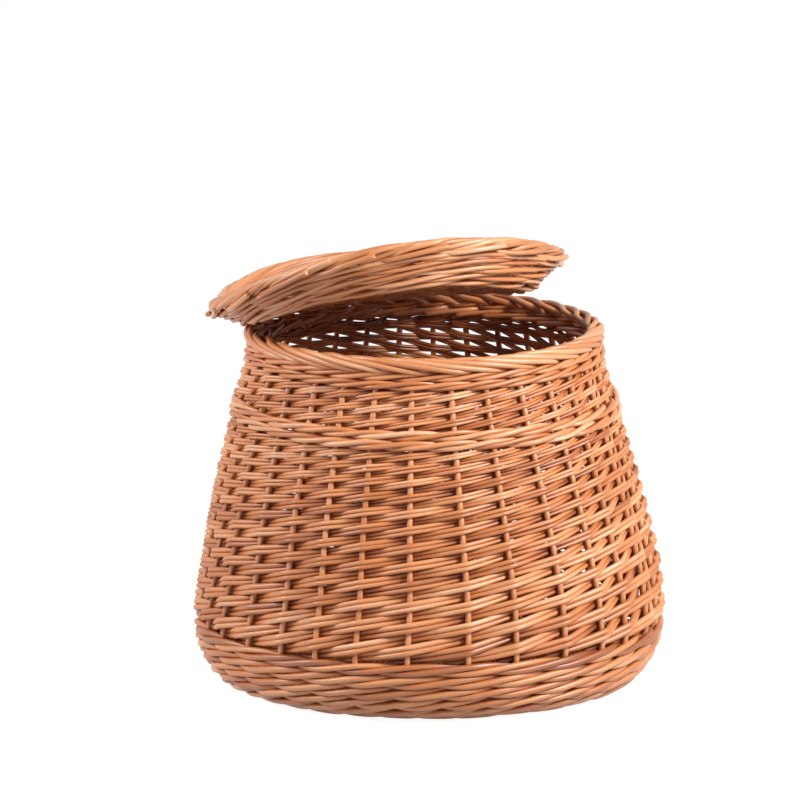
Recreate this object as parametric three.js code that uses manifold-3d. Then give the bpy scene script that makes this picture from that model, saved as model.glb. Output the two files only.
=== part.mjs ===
// A bellied willow laundry hamper with a loose, dished lid lying askew on its rim.
// Millimetres, +Z up, the origin on the floor under the middle of the base, -Y the front.
import * as THREE from 'three';
import { mergeVertices } from 'three/addons/utils/BufferGeometryUtils.js';
import Module from 'manifold-3d';

// Wall line: the path that the middle of every stake follows from foot to rim
const FOOT_RADIUS = 190;
const BELLY_RADIUS = 227.5;
const BELLY_HEIGHT = 74;
const MOUTH_RADIUS = 170;
const RIM_HEIGHT = 362;
const SHOULDER_POWER = 1.28;

// Stakes, and the rods woven round them
const STAKE_COUNT = 32;
const STAKE_DIAMETER = 6;
const FIRST_STAKE_DEG = -93.2;
const STAKE_SOCKET_DEPTH = 32;
const UPSETT_ROD = 6.5;
const SIDING_ROD = 5;
const WAIST_ROD = 5.8;
const UPPER_ROD = 3.8;
const TOP_WALE_ROD = 5;
const BORDER_DIAMETER = 18;

// The upsett is measured up from the floor and the other bands down from the rim. The lower siding fills
// the rest.
const UPSETT_TOP = 64;
const WAIST_WALE_HEIGHT = 18;
const UPPER_SIDING_HEIGHT = 39;
const TOP_WALE_HEIGHT = 12.7;
const FOOT_RING_WIDTH = 8;

// The lower siding is slewed: in one row its rods pass in front of all the stakes, in the next behind them.
// Its rows thin out upwards. Where the rods lie behind a stake, the solid keeps a skin over the stake's way.
const SIDING_ROWS = 22;
const ROW_THINNING = 0.24;
const WAY_SKIN = 1.2;

// Base: sticks laid four over four, fanned out and bound by the base weave
const STICKS_EACH_WAY = 4;
const BASE_STICK_DIAMETER = 8;
const BASE_WEAVE_THICKNESS = 15;
const BASE_HUB_RADIUS = 40;

// Lid: a shallow dish, its wall flared out to a rolled edge
const LID_BASE_RADIUS = 146;
const LID_BORDER_RADIUS = 172;
const LID_BORDER_DIAMETER = 20;
const LID_WALL_HEIGHT = 26;
const LID_WALL_THICKNESS = 14;
const LID_WEAVE_THICKNESS = 13;
const LID_STICK_DIAMETER = 6.4;
const LID_HUB_RADIUS = 36;
const LID_STICK_INSET = 3;

// Pairing on the lid's sticks: the weave is this much thinner between two sticks, as a share of its thickness
const LID_PINCH = 0.35;

// How the lid has warped: both ends bent down, the left one more, its front right raised by a twist,
// and its disc sagging
const LID_BOW = 12.5;
const LID_DROOP = 9;
const LID_TWIST = 7;
const LID_SAG = 8;

// How the lid lies: moved from the middle of the mouth, its right end and its front raised
const LID_SHIFT_X = -40;
const LID_SHIFT_Y = -22;
const LID_ROLL_DEG = 5.4;
const LID_PITCH_DEG = 12;

// Gaps between pieces that touch
const CLEARANCE = 0.3;
const LID_SEAT_CLEARANCE = 0.4;

const ROUND_FACETS = 48;
const FACETS_PER_SPOKE = 4;
const TUBE_FACETS = 8;
const ROD_SIDES = 6;

const FOOT_HEIGHT = STAKE_DIAMETER / 2 + UPSETT_ROD;
const WALL_TOP = RIM_HEIGHT - BORDER_DIAMETER - CLEARANCE;
const UPPER_TOP = WALL_TOP - TOP_WALE_HEIGHT;
const WAIST_TOP = UPPER_TOP - UPPER_SIDING_HEIGHT;
const SIDING_TOP = WAIST_TOP - WAIST_WALE_HEIGHT;
const STAKE_STEP = (2 * Math.PI) / STAKE_COUNT;
const FIRST_STAKE = THREE.MathUtils.degToRad(FIRST_STAKE_DEG);

const wasm = await Module();
wasm.setup();

// A point of the wall line. Below 0 it runs level into the base, in foot ring widths.
// From 0 to 1 it turns up in a quarter ellipse to the belly, and from 1 to 2 it draws in to the mouth.
function wallPoint(p) {
  if (p < 0) {
    return new THREE.Vector2(FOOT_RADIUS + p * FOOT_RING_WIDTH, FOOT_HEIGHT);
  }
  if (p < 1) {
    const turn = (p * Math.PI) / 2;
    const rise = (BELLY_HEIGHT - FOOT_HEIGHT) * (1 - Math.cos(turn));
    return new THREE.Vector2(FOOT_RADIUS + (BELLY_RADIUS - FOOT_RADIUS) * Math.sin(turn), FOOT_HEIGHT + rise);
  }
  const t = p - 1;
  const drawnIn = (BELLY_RADIUS - MOUTH_RADIUS) * t ** SHOULDER_POWER;
  return new THREE.Vector2(BELLY_RADIUS - drawnIn, BELLY_HEIGHT + (WALL_TOP - BELLY_HEIGHT) * t);
}

// The place on the wall line that lies at a height
function placeAtHeight(height) {
  if (height < BELLY_HEIGHT) {
    const rise = (height - FOOT_HEIGHT) / (BELLY_HEIGHT - FOOT_HEIGHT);
    return Math.acos(1 - rise) / (Math.PI / 2);
  }
  return 1 + (height - BELLY_HEIGHT) / (WALL_TOP - BELLY_HEIGHT);
}

// A point beside the wall line: sideways round the basket, and out along the wall's normal
function besideWall(p, { angle, side, out }) {
  const step = 1e-3;
  const middle = wallPoint(p);
  const tangent = wallPoint(p + step).sub(wallPoint(p - step)).normalize();
  const radius = middle.x + tangent.y * out;
  const height = middle.y - tangent.x * out;
  return new THREE.Vector3(
    radius * Math.cos(angle) - side * Math.sin(angle),
    radius * Math.sin(angle) + side * Math.cos(angle),
    height,
  );
}

// A closed solid of skins, each a list of rings of points: the outline first and then the holes, the other
// way round. The end faces are triangles of the points of all first rings, and of all last ones.
function loft(skins, endFaces) {
  const points = [];
  const index = [];
  const starts = [];
  const ends = [];
  for (const rings of skins) {
    const size = rings[0].length;
    for (let i = 0; i + 1 < rings.length; i++) {
      for (let k = 0; k < size; k++) {
        const a = points.length + i * size + k;
        const b = points.length + i * size + ((k + 1) % size);
        index.push(a, b, b + size, a, b + size, a + size);
      }
    }
    const last = points.length + (rings.length - 1) * size;
    for (let k = 0; k < size; k++) {
      starts.push(points.length + k);
      ends.push(last + k);
    }
    points.push(...rings.flat());
  }
  for (const [a, b, c] of endFaces) {
    index.push(starts[a], starts[c], starts[b], ends[a], ends[b], ends[c]);
  }
  const geometry = new THREE.BufferGeometry().setFromPoints(points);
  geometry.setIndex(index);
  return geometry;
}

function stakeAngle(k) {
  return FIRST_STAKE + k * STAKE_STEP;
}

function roundSection(radius) {
  return Array.from({ length: ROD_SIDES }, (_, j) => {
    const turn = (j * 2 * Math.PI) / ROD_SIDES;
    return new THREE.Vector2(radius * Math.cos(turn), radius * Math.sin(turn));
  });
}

const rodEnd = Array.from({ length: ROD_SIDES - 2 }, (_, j) => [0, j + 1, j + 2]);

// A stake, or the socket for one, at its own angle
function stakeSolid(k, places, radius) {
  const points = roundSection(radius).map(({ x, y }) => ({ angle: stakeAngle(k), side: y, out: x }));
  const rings = places.map((p) => points.map((point) => besideWall(p, point)));
  return loft([rings], rodEnd);
}

// The end of a band, filled stake by stake round the ways. The outline has a point at each stake and one
// between two.
function bandEnd() {
  const faces = [];
  const outer = (k) => 2 * (k % STAKE_COUNT);
  const inner = (k) => 3 * STAKE_COUNT - 1 - (k % STAKE_COUNT);
  const corner = (k, c) => 3 * STAKE_COUNT + 4 * (k % STAKE_COUNT) + c;
  for (let k = 0; k < STAKE_COUNT; k++) {
    const next = k + 1;
    const between = outer(k) + 1;
    const quads = [
      [corner(k, 2), corner(next, 3), corner(next, 0), corner(k, 1)],
      [corner(k, 1), corner(next, 0), inner(next), inner(k)],
    ];
    quads.forEach(([a, b, c, d]) => faces.push([a, b, c], [a, c, d]));
    faces.push([outer(k), between, corner(k, 2)], [between, outer(next), corner(next, 3)]);
    faces.push([between, corner(next, 3), corner(k, 2)]);
    faces.push([outer(k), corner(k, 2), corner(k, 3)], [inner(k), corner(k, 0), corner(k, 1)]);
  }
  return faces;
}

// The levels of a plain band: as thick all over as a stake with a rod on each side
function plainLevels(places, rod) {
  const reach = STAKE_DIAMETER / 2 + rod;
  return places.map((p) => ({ p, out: reach, between: reach, inward: reach }));
}

// The levels of the slewed siding, row by row: a rod in front of the stakes, and then one behind them.
// Between two stakes the rods cross over.
function slewedLevels(places, rod) {
  const from = places[0];
  const to = places[places.length - 1];
  const reach = STAKE_DIAMETER / 2 + rod;
  const covered = STAKE_DIAMETER / 2 + CLEARANCE + WAY_SKIN;
  return evenly(0, 1, SIDING_ROWS).map((t, row) => {
    const p = from + (to - from) * (t + ROW_THINNING * (t - t * t));
    const inFront = row % 2 === 1;
    return { p, out: inFront ? reach : covered, between: covered, inward: inFront ? covered : reach };
  });
}

// A band of weave: a ring on the wall line with a way for every stake
function wovenBand(levels, places) {
  const angles = Array.from({ length: STAKE_COUNT }, (_, k) => stakeAngle(k));
  const outside = levels.map(({ p, out, between }) => angles.flatMap((angle) => [
    besideWall(p, { angle, side: 0, out }),
    besideWall(p, { angle: angle + STAKE_STEP / 2, side: 0, out: between }),
  ]));
  const inside = levels.map(({ p, inward }) => {
    return angles.map((angle) => besideWall(p, { angle, side: 0, out: -inward })).reverse();
  });
  const way = STAKE_DIAMETER / 2 + CLEARANCE;
  const corners = [[-way, -way], [-way, way], [way, way], [way, -way]];
  const ways = angles.map((angle) => {
    return places.map((p) => corners.map(([out, side]) => besideWall(p, { angle, side, out })));
  });
  return loft([outside, inside, ...ways], bandEnd());
}

function evenly(from, to, steps) {
  return Array.from({ length: steps + 1 }, (_, i) => from + ((to - from) * i) / steps);
}

// A ring turned round the upright axis from a closed profile of radius and height
function turned(profile, facets = ROUND_FACETS) {
  const points = profile.map(([radius, height]) => new THREE.Vector2(radius, height));
  points.push(points[0].clone());
  return new THREE.LatheGeometry(points, facets).rotateX(Math.PI / 2);
}

function rolledEdge(radius, height, diameter) {
  const profile = Array.from({ length: TUBE_FACETS }, (_, j) => {
    const turn = (j * 2 * Math.PI) / TUBE_FACETS;
    return [radius + (diameter / 2) * Math.cos(turn), height + (diameter / 2) * Math.sin(turn)];
  });
  return turned(profile);
}

// The two layers of crossed sticks: where each one's middle runs, from end to end
function stickRoutes(reach, hubRadius, diameter, height) {
  const pitch = diameter + 2 * CLEARANCE;
  const fan = Math.PI / 2 / STICKS_EACH_WAY;
  const crossing = (STICKS_EACH_WAY * pitch) / 2 + diameter / 2;
  const lift = diameter / 2 + CLEARANCE / 2;
  const routes = [];
  for (const layer of [0, 1]) {
    for (let k = 0; k < STICKS_EACH_WAY; k++) {
      const place = k - (STICKS_EACH_WAY - 1) / 2;
      const half = [
        new THREE.Vector3(crossing, place * pitch, layer ? -lift : lift),
        new THREE.Vector3(hubRadius * Math.cos(place * fan), hubRadius * Math.sin(place * fan), 0),
        new THREE.Vector3(reach * Math.cos(place * fan), reach * Math.sin(place * fan), 0),
      ];
      const mirrored = half.map((point) => new THREE.Vector3(-point.x, point.y, point.z)).reverse();
      const route = [...mirrored, ...half].map((point) => point.setZ(point.z + height));
      const turn = (layer * Math.PI) / 2;
      routes.push(route.map((point) => point.applyAxisAngle(new THREE.Vector3(0, 0, 1), turn)));
    }
  }
  return routes;
}

// A rod through the points of its route
function rodSolid(route, radius) {
  const section = roundSection(radius);
  const up = new THREE.Vector3(0, 0, 1);
  const rings = route.map((point, i) => {
    const before = route[Math.max(i - 1, 0)];
    const after = route[Math.min(i + 1, route.length - 1)];
    const tangent = after.clone().sub(before).normalize();
    const across = up.clone().cross(tangent).normalize();
    const over = tangent.clone().cross(across);
    return section.map(({ x, y }) => point.clone().addScaledVector(across, x).addScaledVector(over, y));
  });
  return loft([rings], rodEnd);
}

function toManifold(geometry) {
  const bare = geometry.clone();
  bare.deleteAttribute('normal');
  bare.deleteAttribute('uv');
  const merged = mergeVertices(bare, 1e-4);
  const vertProperties = new Float32Array(merged.getAttribute('position').array);
  const triVerts = new Uint32Array(merged.getIndex().array);
  return new wasm.Manifold(new wasm.Mesh({ numProp: 3, vertProperties, triVerts }));
}

function cut(geometry, tools) {
  let body = toManifold(geometry);
  for (const tool of tools) {
    body = body.subtract(toManifold(tool));
  }
  const { vertProperties, triVerts } = body.getMesh();
  const result = new THREE.BufferGeometry();
  result.setAttribute('position', new THREE.BufferAttribute(new Float32Array(vertProperties), 3));
  result.setIndex(new THREE.BufferAttribute(new Uint32Array(triVerts), 1));
  return result;
}

// How far the lid has warped down at a place
function lidWarp(x, y) {
  const across = x / LID_BASE_RADIUS;
  const along = y / LID_BASE_RADIUS;
  const ends = LID_BOW * across ** 2 + LID_DROOP * Math.max(-across, 0) ** 4;
  return ends + LID_TWIST * across * along + LID_SAG * Math.max(1 - across ** 2 - along ** 2, 0);
}

function warped(geometry) {
  const place = geometry.getAttribute('position');
  for (let i = 0; i < place.count; i++) {
    place.setZ(i, place.getZ(i) - lidWarp(place.getX(i), place.getY(i)));
  }
  return geometry;
}

// A disc of pairing is thick over each stick and thin between two, where its rods twist round each other
function paired(geometry, middle, pinch) {
  const place = geometry.getAttribute('position');
  const spokes = 4 * STICKS_EACH_WAY;
  for (let i = 0; i < place.count; i++) {
    const between = (1 + Math.cos(spokes * Math.atan2(place.getY(i), place.getX(i)))) / 2;
    place.setZ(i, middle + (place.getZ(i) - middle) * (1 - pinch * between));
  }
  return geometry;
}

const stakeColour = new THREE.MeshStandardMaterial({ color: 0xb0713f, roughness: 0.55, metalness: 0 });
const sidingColour = new THREE.MeshStandardMaterial({ color: 0xcb8d5a, roughness: 0.5, metalness: 0 });
const waleColour = new THREE.MeshStandardMaterial({ color: 0xc4834f, roughness: 0.5, metalness: 0 });
const stickColour = new THREE.MeshStandardMaterial({ color: 0xa96b3b, roughness: 0.6, metalness: 0 });

function named(name, geometry, material) {
  const mesh = new THREE.Mesh(geometry, material);
  mesh.name = name;
  return mesh;
}

function numbered(name, k) {
  return `${name}_${String(k + 1).padStart(2, '0')}`;
}

// The bands of the wall, from the foot up, each with the places that its shape needs
function wallBands() {
  const upsettEnd = placeAtHeight(UPSETT_TOP);
  const sidingEnd = placeAtHeight(SIDING_TOP);
  const waistEnd = placeAtHeight(WAIST_TOP);
  const upperEnd = placeAtHeight(UPPER_TOP);
  const waled = { weave: plainLevels, colour: waleColour };
  const plain = { weave: plainLevels, colour: sidingColour };
  const slewed = { weave: slewedLevels, colour: sidingColour };
  return [
    { name: 'upsett_wale', rod: UPSETT_ROD, places: [-1, ...evenly(0, upsettEnd, 3)], ...waled },
    { name: 'lower_siding', rod: SIDING_ROD, places: evenly(upsettEnd, sidingEnd, 4), ...slewed },
    { name: 'waist_wale', rod: WAIST_ROD, places: [sidingEnd, waistEnd], ...waled },
    { name: 'upper_siding', rod: UPPER_ROD, places: [waistEnd, upperEnd], ...plain },
    { name: 'top_wale', rod: TOP_WALE_ROD, places: [upperEnd, 2], ...waled },
  ];
}

// Every band but the first starts a clearance above the one below it
function raised(places, isFirst) {
  if (isFirst) {
    return places;
  }
  const start = placeAtHeight(wallPoint(places[0]).y + CLEARANCE);
  return [start, ...places.slice(1)];
}

function makeBody() {
  const body = new THREE.Group();
  const bands = wallBands();
  const wallPlaces = [...new Set(bands.flatMap(({ places }) => places))];
  const socketEnd = -1 - STAKE_SOCKET_DEPTH / FOOT_RING_WIDTH;
  for (let k = 0; k < STAKE_COUNT; k++) {
    const stake = stakeSolid(k, [socketEnd, ...wallPlaces], STAKE_DIAMETER / 2);
    body.add(named(numbered('stake', k), stake, stakeColour));
  }
  bands.forEach(({ name, rod, places, weave, colour }, i) => {
    const from = raised(places, i === 0);
    body.add(named(name, wovenBand(weave(from, rod), from), colour));
  });
  const borderHeight = RIM_HEIGHT - BORDER_DIAMETER / 2;
  body.add(named('border', rolledEdge(MOUTH_RADIUS, borderHeight, BORDER_DIAMETER), waleColour));

  const baseEdge = (FOOT_RADIUS - FOOT_RING_WIDTH) * Math.cos(STAKE_STEP / 2) - STAKE_DIAMETER / 10;
  const bottom = FOOT_HEIGHT - BASE_WEAVE_THICKNESS / 2;
  const top = FOOT_HEIGHT + BASE_WEAVE_THICKNESS / 2;
  const hub = BASE_HUB_RADIUS;
  const disc = turned([[hub, bottom], [baseEdge, bottom], [baseEdge, top], [hub, top]]);
  const routes = stickRoutes(baseEdge - CLEARANCE, hub, BASE_STICK_DIAMETER, FOOT_HEIGHT);
  const tools = routes.map((route) => rodSolid(route, BASE_STICK_DIAMETER / 2 + CLEARANCE));
  for (let k = 0; k < STAKE_COUNT; k++) {
    const depth = [socketEnd - CLEARANCE / FOOT_RING_WIDTH, -CLEARANCE];
    tools.push(stakeSolid(k, depth, STAKE_DIAMETER / 2 + CLEARANCE));
  }
  body.add(named('base_weave', cut(disc, tools), sidingColour));
  routes.forEach((route, k) => {
    body.add(named(numbered('base_stick', k), rodSolid(route, BASE_STICK_DIAMETER / 2), stickColour));
  });
  return body;
}

// Height of the lid's underside over its own base plane, before it warped
function lidUnderside(radius) {
  if (radius < LID_BASE_RADIUS) {
    return 0;
  }
  const wall = (LID_WALL_HEIGHT * (radius - LID_BASE_RADIUS)) / (LID_BORDER_RADIUS - LID_BASE_RADIUS);
  const half = LID_BORDER_DIAMETER / 2;
  const edge = LID_WALL_HEIGHT + half - Math.sqrt(Math.max(half ** 2 - (radius - LID_BORDER_RADIUS) ** 2, 0));
  return radius < LID_BORDER_RADIUS ? Math.min(wall, edge) : edge;
}

// The lid is lowered, turned and shifted as it lies, until it rests on the border
function seatLid(lid) {
  lid.rotation.set(-THREE.MathUtils.degToRad(LID_PITCH_DEG), -THREE.MathUtils.degToRad(LID_ROLL_DEG), 0);
  const back = lid.quaternion.clone().invert();
  const half = BORDER_DIAMETER / 2 + LID_SEAT_CLEARANCE;
  const rim = [];
  for (const around of evenly(0, 2 * Math.PI, 180)) {
    for (const over of evenly(0, Math.PI, 12)) {
      const radius = MOUTH_RADIUS + half * Math.cos(over);
      const height = RIM_HEIGHT - BORDER_DIAMETER / 2 + half * Math.sin(over);
      rim.push(new THREE.Vector3(radius * Math.cos(around), radius * Math.sin(around), height));
    }
  }
  const reach = LID_BORDER_RADIUS + LID_BORDER_DIAMETER / 2;
  const meets = (height) => rim.some((point) => {
    const at = point.clone().sub(new THREE.Vector3(LID_SHIFT_X, LID_SHIFT_Y, height)).applyQuaternion(back);
    const radius = Math.hypot(at.x, at.y);
    return radius < reach && at.z > lidUnderside(radius) - lidWarp(at.x, at.y);
  });
  let low = RIM_HEIGHT - BORDER_DIAMETER;
  let high = RIM_HEIGHT + LID_BORDER_RADIUS;
  while (high - low > LID_SEAT_CLEARANCE / 10) {
    const middle = (low + high) / 2;
    if (meets(middle)) {
      low = middle;
    } else {
      high = middle;
    }
  }
  lid.position.set(LID_SHIFT_X, LID_SHIFT_Y, high);
  return lid;
}

function makeLid() {
  const lid = new THREE.Group();
  const weaveEdge = LID_BASE_RADIUS - LID_WALL_THICKNESS / 2;
  const inner = LID_HUB_RADIUS;
  const rows = evenly(inner, weaveEdge, 3);
  const under = rows.map((radius) => [radius, 0]);
  const over = rows.map((radius) => [radius, LID_WEAVE_THICKNESS]).reverse();
  const middle = LID_WEAVE_THICKNESS / 2;
  const flat = turned([...under, ...over], 4 * STICKS_EACH_WAY * FACETS_PER_SPOKE);
  const disc = warped(paired(flat, middle, LID_PINCH));
  const routes = stickRoutes(weaveEdge - LID_STICK_INSET, LID_HUB_RADIUS, LID_STICK_DIAMETER, middle);
  const tools = routes.map((route) => warped(rodSolid(route, LID_STICK_DIAMETER / 2 + CLEARANCE)));
  lid.add(named('lid_weave', cut(disc, tools), sidingColour));
  routes.forEach((route, k) => {
    const stick = warped(rodSolid(route, LID_STICK_DIAMETER / 2));
    lid.add(named(numbered('lid_stick', k), stick, stickColour));
  });

  const wallTop = LID_WALL_HEIGHT - CLEARANCE;
  const wall = turned([
    [weaveEdge + CLEARANCE, 0],
    [LID_BASE_RADIUS, 0],
    [LID_BORDER_RADIUS, wallTop],
    [LID_BORDER_RADIUS - LID_WALL_THICKNESS, wallTop],
    [weaveEdge + CLEARANCE, LID_WEAVE_THICKNESS],
  ]);
  lid.add(named('lid_wale', warped(wall), waleColour));
  const edgeHeight = LID_WALL_HEIGHT + LID_BORDER_DIAMETER / 2;
  const edge = rolledEdge(LID_BORDER_RADIUS, edgeHeight, LID_BORDER_DIAMETER);
  lid.add(named('lid_border', warped(edge), waleColour));
  return seatLid(lid);
}

const hamper = new THREE.Group();
hamper.name = 'laundry_hamper';
hamper.add(makeBody(), makeLid());

export default hamper;
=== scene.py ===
# %% [markdown]
# A bellied laundry hamper of buff willow, with a loose lid lying askew on its rim. Everything that shows
# on the real hamper is a rod: stakes that stand up, and weavers that go in front of some stakes and
# behind others. A wall with a printed weave would look flat from the side, so here every rod is a tube of
# its own that follows the path a basket maker gives it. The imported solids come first. They are the frame:
# they give each band its place and carry the motion.

# %% Load the frame
import math
from collections import namedtuple

import bpy
import numpy as np
from mathutils import Matrix, Vector


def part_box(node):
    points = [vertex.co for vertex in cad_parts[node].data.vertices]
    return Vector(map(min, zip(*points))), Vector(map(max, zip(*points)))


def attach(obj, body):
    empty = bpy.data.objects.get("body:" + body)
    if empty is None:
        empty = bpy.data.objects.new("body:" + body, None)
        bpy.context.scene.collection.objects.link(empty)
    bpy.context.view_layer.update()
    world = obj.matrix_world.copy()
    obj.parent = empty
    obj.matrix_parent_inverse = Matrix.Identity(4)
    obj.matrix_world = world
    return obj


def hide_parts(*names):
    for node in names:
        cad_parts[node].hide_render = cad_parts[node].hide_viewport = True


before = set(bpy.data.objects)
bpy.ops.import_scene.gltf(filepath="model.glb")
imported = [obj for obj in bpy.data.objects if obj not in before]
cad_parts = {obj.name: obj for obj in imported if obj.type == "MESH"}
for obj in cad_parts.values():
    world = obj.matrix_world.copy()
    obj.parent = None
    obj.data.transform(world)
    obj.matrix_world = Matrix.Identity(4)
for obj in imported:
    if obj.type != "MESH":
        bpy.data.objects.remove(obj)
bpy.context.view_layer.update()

RANDOM_SEED = 32
rng = np.random.default_rng(RANDOM_SEED)

# %% [markdown]
# The photograph was taken from far away: level rows look equally open at the rim, the waist and the foot.
# A camera beside the hamper would widen the rows towards the foot, so this one stands twenty metres off
# with a very long lens, a little above the hamper, and one pixel is one millimetre.

# %% Camera
PHOTO_WIDTH = 0.8
CAMERA_DISTANCE = 20.0
SENSOR_WIDTH = 36.0
VIEW_ELEVATION = math.radians(11.7)
VIEW_CENTRE = Vector((-0.0275, 0.0, 0.285))

lens = bpy.data.cameras.new("long_lens")
lens.sensor_width = SENSOR_WIDTH
lens.lens = SENSOR_WIDTH * CAMERA_DISTANCE / PHOTO_WIDTH
lens.clip_end = 2 * CAMERA_DISTANCE
camera = bpy.data.objects.new("camera", lens)
bpy.context.scene.collection.objects.link(camera)
towards_camera = Vector((0.0, -math.cos(VIEW_ELEVATION), math.sin(VIEW_ELEVATION)))
camera.location = VIEW_CENTRE + CAMERA_DISTANCE * towards_camera
camera.rotation_euler = (-towards_camera).to_track_quat("-Z", "Y").to_euler()
bpy.context.scene.camera = camera
print("lens in mm:", round(lens.lens))

# %% [markdown]
# All rods of the wall share one guide: the line that the middle of a stake follows, from its socket in
# the base, round the foot, up over the belly and in to the mouth. It could be drawn as a curve object,
# but every rod asks it for many places. So it is a table of radius and height by climb, which is the
# distance walked up the wall. The foot is a quarter of an ellipse, the shoulder a gentle power curve, and
# the rim's size and height come from the solid of the border.

# %% Wall line
FOOT_RADIUS = 0.190
FOOT_HEIGHT = 0.0095
BELLY_RADIUS = 0.2275
BELLY_HEIGHT = 0.074
SHOULDER_POWER = 1.28
SOCKET_DEPTH = 0.040
PAST_THE_RIM = 1.05
SOCKET_POINTS, FOOT_POINTS, SHOULDER_POINTS = 20, 60, 120

border_low, border_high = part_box("border")
MOUTH_RADIUS = border_high.x - (border_high.z - border_low.z) / 2
WALL_TOP = border_low.z


def wall_table():
    level = np.linspace(FOOT_RADIUS - SOCKET_DEPTH, FOOT_RADIUS, SOCKET_POINTS)[:-1]
    turn = np.linspace(0, math.pi / 2, FOOT_POINTS)
    rise = np.linspace(0, PAST_THE_RIM, SHOULDER_POINTS)[1:]
    radius = np.concatenate([
        level,
        FOOT_RADIUS + (BELLY_RADIUS - FOOT_RADIUS) * np.sin(turn),
        BELLY_RADIUS - (BELLY_RADIUS - MOUTH_RADIUS) * rise ** SHOULDER_POWER,
    ])
    height = np.concatenate([
        np.full(len(level), FOOT_HEIGHT),
        FOOT_HEIGHT + (BELLY_HEIGHT - FOOT_HEIGHT) * (1 - np.cos(turn)),
        BELLY_HEIGHT + (WALL_TOP - BELLY_HEIGHT) * rise,
    ])
    return radius, height


def distance_along(line):
    return np.concatenate([[0], np.cumsum(np.linalg.norm(np.diff(line, axis=0), axis=1))])


line_radius, line_height = wall_table()
wall_line = np.stack([line_radius, line_height], axis=1)
line_climb = distance_along(wall_line) - SOCKET_DEPTH
line_slope = np.gradient(wall_line, line_climb, axis=0)
print("mouth radius in mm:", round(1000 * MOUTH_RADIUS, 1), "top of the wall:", round(1000 * WALL_TOP, 1))

# %% [markdown]
# With the table, a place takes three numbers: the angle round the basket, the climb, and how far out from
# the stake's middle it lies. Out could simply mean away from the axis, but then rods would sink into the
# wall where it slopes. So it is measured square to the wall, and the same step tells which way a rod's
# section faces.

# %% Places on the wall
def climb_at(height):
    rising = line_climb >= 0
    return float(np.interp(height, line_height[rising], line_climb[rising]))


def round_the_axis(angle, radius, height):
    return np.stack([radius * np.cos(angle), radius * np.sin(angle), height + 0 * angle], axis=1)


def on_wall(angle, climb, out):
    slope_radius = np.interp(climb, line_climb, line_slope[:, 0])
    slope_height = np.interp(climb, line_climb, line_slope[:, 1])
    radius = np.interp(climb, line_climb, line_radius) + slope_height * out
    height = np.interp(climb, line_climb, line_height) - slope_radius * out
    return round_the_axis(angle, radius, height)


def outward(angle, climb):
    return on_wall(angle, climb, 1.0) - on_wall(angle, climb, 0.0)


print("the wall is", round(climb_at(WALL_TOP), 3), "m from foot to rim")

# %% [markdown]
# A rod is a line, a thickness along it, a direction that its section faces, a tone, and how far out of
# the wall it stands. Blender can bevel a curve into a tube, but then the ends, the colour of each rod and
# the map for the finish are out of reach. A small sweep of our own keeps them. It begins with the ends: a
# knife leaves a flat cut, so each end gets one more ring, a little smaller, which takes the edge off the
# cut.

# %% Shape of one rod
Rod = namedtuple("Rod", "line radius facing tone out", defaults=(0.0,))
CUT_EDGE = 0.75
CUT_DEPTH = 0.2


def unit(vectors):
    return vectors / np.linalg.norm(vectors, axis=-1, keepdims=True)


def with_cut_ends(rod):
    start = rod.line[0] - unit(rod.line[1] - rod.line[0]) * rod.radius[0] * CUT_DEPTH
    stop = rod.line[-1] + unit(rod.line[-1] - rod.line[-2]) * rod.radius[-1] * CUT_DEPTH
    line = np.concatenate([[start], rod.line, [stop]])
    radius = np.concatenate([[CUT_EDGE * rod.radius[0]], rod.radius, [CUT_EDGE * rod.radius[-1]]])
    facing = np.concatenate([rod.facing[:1], rod.facing, rod.facing[-1:]])
    out = np.broadcast_to(rod.out, len(rod.line))
    return Rod(line, radius, facing, rod.tone, np.concatenate([out[:1], out, out[-1:]]))


print("a rod notes:", *Rod._fields)

# %% [markdown]
# The sweep lays a ring of points at each step of the line, joins the rings and closes both ends. For
# every point it notes the place on the rod, which the grain will follow, and a tone. One tone for a whole
# rod would look flat. So besides the rod's own tone it carries painted shade, which falls deep in the wall
# and on the inner face of each rod, where shade gathers in the weave, and painted light, which lifts the
# outer face. One random start for each rod keeps any two rods from having the same grain.

# %% Points and faces of one rod
GRAIN_SPAN = 40.0
# Painted shade: the tone falls deep in the wall and on each rod's inner face, and rises as painted light on
# its outer face.
PAINTED_SHADE_AND_LIGHT = 0.45
PAINTED_SHADE_DEPTH = 0.005
PAINTED_SHADE_REACH = (-1.0, 0.25)


def rod_points(rod, walk, sides):
    turn = np.arange(sides) * 2 * math.pi / sides
    along = unit(np.gradient(rod.line, axis=0))
    side = unit(np.cross(along, rod.facing))
    out = np.cross(side, along)
    across = np.stack([np.outer(rod.radius, np.cos(turn)), np.outer(rod.radius, np.sin(turn))], axis=2)
    rings = rod.line[:, None] + across[..., :1] * out[:, None] + across[..., 1:] * side[:, None]
    start = rng.uniform(0, GRAIN_SPAN)
    place = np.broadcast_to(walk[:, None, None] + start, rings.shape[:2] + (1,))
    grain = np.concatenate([place, across], axis=2).reshape(-1, 3)
    grain = np.concatenate([grain, [[start, 0, 0], [start + walk[-1], 0, 0]]])
    # painted shade deep in the weave and painted light on the outer face, added to the rod's own tone
    tone = rod.tone + PAINTED_SHADE_AND_LIGHT * np.clip((rod.out[:, None] + across[..., 0]) / PAINTED_SHADE_DEPTH, *PAINTED_SHADE_REACH)
    tone = np.concatenate([tone.ravel(), tone[[0, -1], 0]])
    return np.concatenate([rings.reshape(-1, 3), rod.line[[0, -1]]]), grain, tone


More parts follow.
